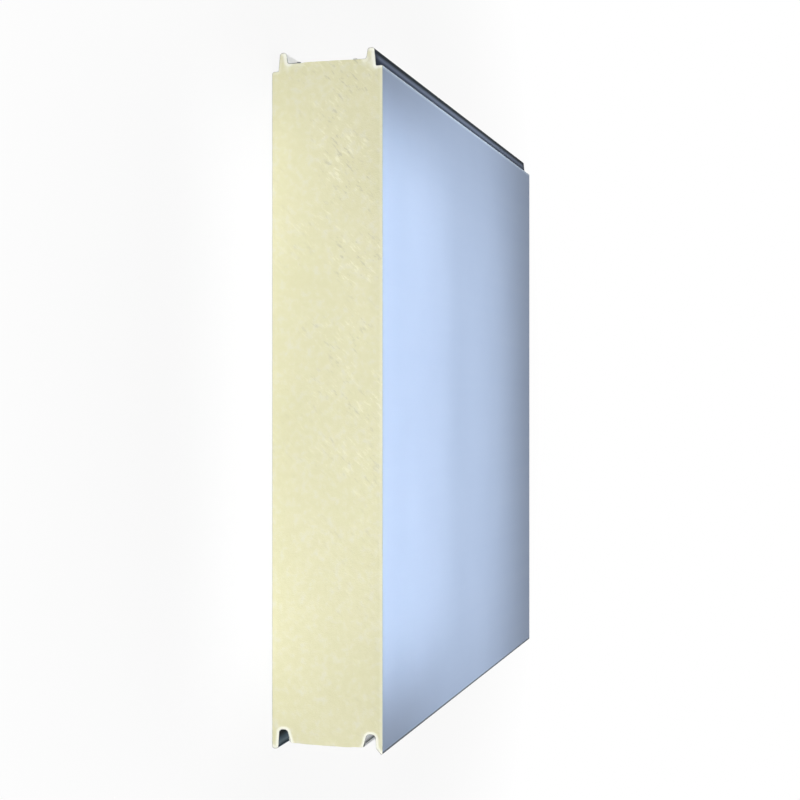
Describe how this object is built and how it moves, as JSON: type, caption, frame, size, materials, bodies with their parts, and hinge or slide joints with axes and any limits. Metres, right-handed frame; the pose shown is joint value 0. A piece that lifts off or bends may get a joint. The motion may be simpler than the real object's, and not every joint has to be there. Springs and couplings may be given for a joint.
{
  "type": "insulated sandwich panel",
  "caption": "Flat insulated wall or ceiling panel: rigid foam core between two coated steel facings, tongues along one edge and grooves along the other, cut square at both ends.",
  "frame": {"origin": "centre of the panel's underside, the flat of the inner facing, with the tongues counted in its width", "axes": "+X across the cover width, from the tongue edge to the groove edge; +Y along the length, parallel to the tongues and grooves; +Z through the thickness, from the inner facing to the outer facing"},
  "size_m": [1.0246, 1.1, 0.17],
  "materials": {
    "foam": "sawn rigid polyurethane foam",
    "inner_steel": "smooth coil coating, satin",
    "outer_steel": "smooth coil coating, satin"
  },
  "bodies": {
    "root": {"foam_core": "foam", "inner_facing": "inner_steel", "outer_facing": "outer_steel"}
  },
  "joints": []
}
